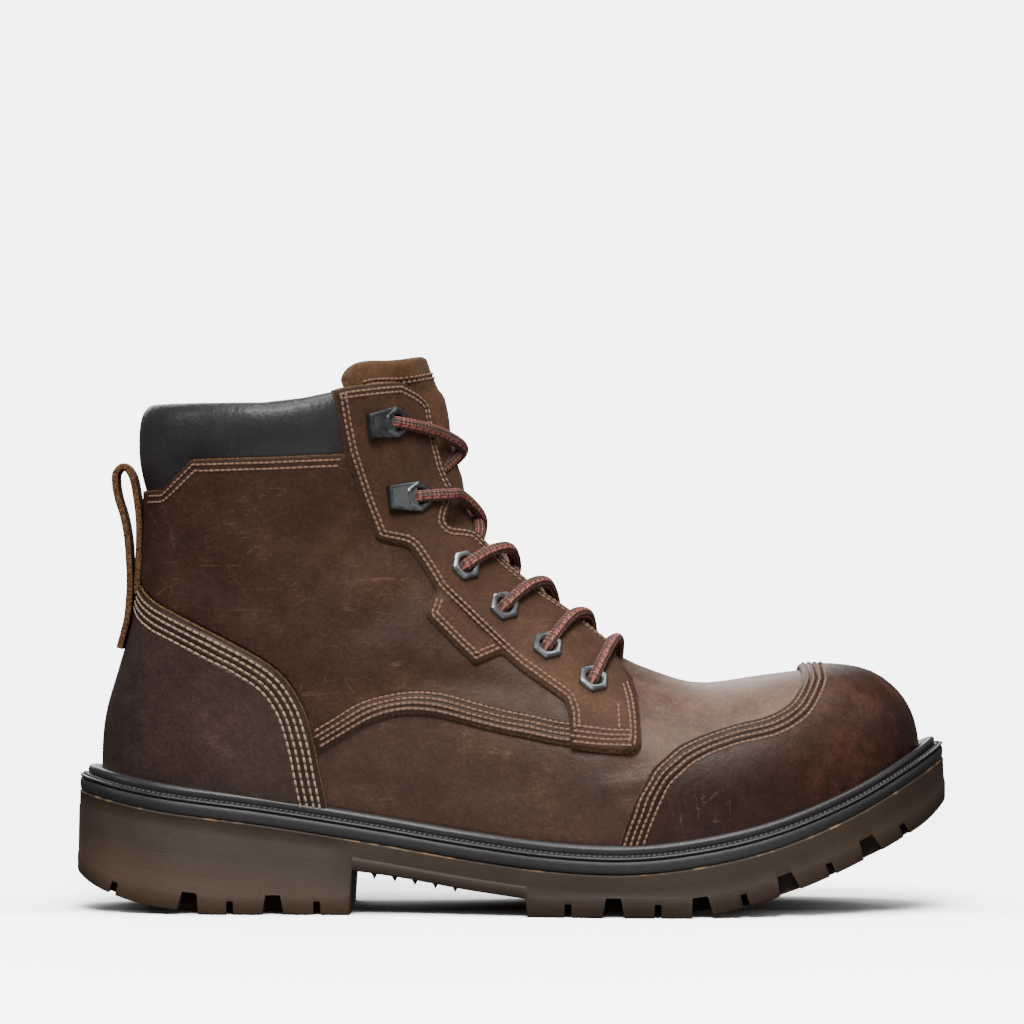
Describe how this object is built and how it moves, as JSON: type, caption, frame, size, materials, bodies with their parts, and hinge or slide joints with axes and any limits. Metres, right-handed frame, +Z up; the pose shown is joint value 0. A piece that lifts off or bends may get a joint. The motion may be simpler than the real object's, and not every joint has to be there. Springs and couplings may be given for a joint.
{
  "type": "work boot",
  "caption": "Ankle-high lace-up safety work boot for the right foot, with a rounded composite toe, padded collar, welt and lugged rubber outsole.",
  "frame": {"origin": "on the floor under the middle of the boot's length and width", "axes": "+X towards the toe, +Z up, the outer (lateral) side of the foot towards -Y"},
  "size_m": [0.31, 0.1108, 0.1967],
  "materials": {
    "vamp_leather": "oiled full-grain leather, burnished brown",
    "cap_leather": "oiled leather burnished dark, slight gloss",
    "quarter_leather": "oiled full-grain leather, pull-up brown",
    "eyestay_leather": "oiled leather, lighter brown, matt",
    "tongue_leather": "soft oiled leather, matt",
    "collar_leather": "soft black leather, satin",
    "loop_leather": "oiled leather strip with tan cut edges",
    "outsole_rubber": "moulded gum-brown rubber, finely ribbed, satin",
    "midsole_rubber": "black rubber, satin",
    "welt_rubber": "black storm welt, semi-gloss",
    "footbed_cloth": "fabric-topped footbed, matt",
    "hardware": "gunmetal plated, satin",
    "lace_cord": "round braided cord, dark brown with red flecks"
  },
  "bodies": {
    "root": {"outsole": "outsole_rubber", "midsole": "midsole_rubber", "welt": "welt_rubber", "insole": "footbed_cloth", "upper": "vamp_leather", "tongue": "tongue_leather", "toe_cap": "cap_leather", "heel_counter": "cap_leather", "quarter_lateral": "quarter_leather", "quarter_medial": "quarter_leather", "eyestay_lateral": "eyestay_leather", "eyestay_medial": "eyestay_leather", "collar": "collar_leather", "pull_loop": "loop_leather", "eyelet_lateral_1": "hardware", "eyelet_lateral_2": "hardware", "eyelet_lateral_3": "hardware", "eyelet_lateral_4": "hardware", "hook_lateral_1": "hardware", "hook_lateral_2": "hardware", "eyelet_medial_1": "hardware", "eyelet_medial_2": "hardware", "eyelet_medial_3": "hardware", "eyelet_medial_4": "hardware", "hook_medial_1": "hardware", "hook_medial_2": "hardware", "lace_bar_1": "lace_cord", "lace_cross_2": "lace_cord", "lace_cross_3": "lace_cord", "lace_cross_4": "lace_cord", "lace_cross_5": "lace_cord", "lace_cross_6": "lace_cord"}
  },
  "joints": []
}
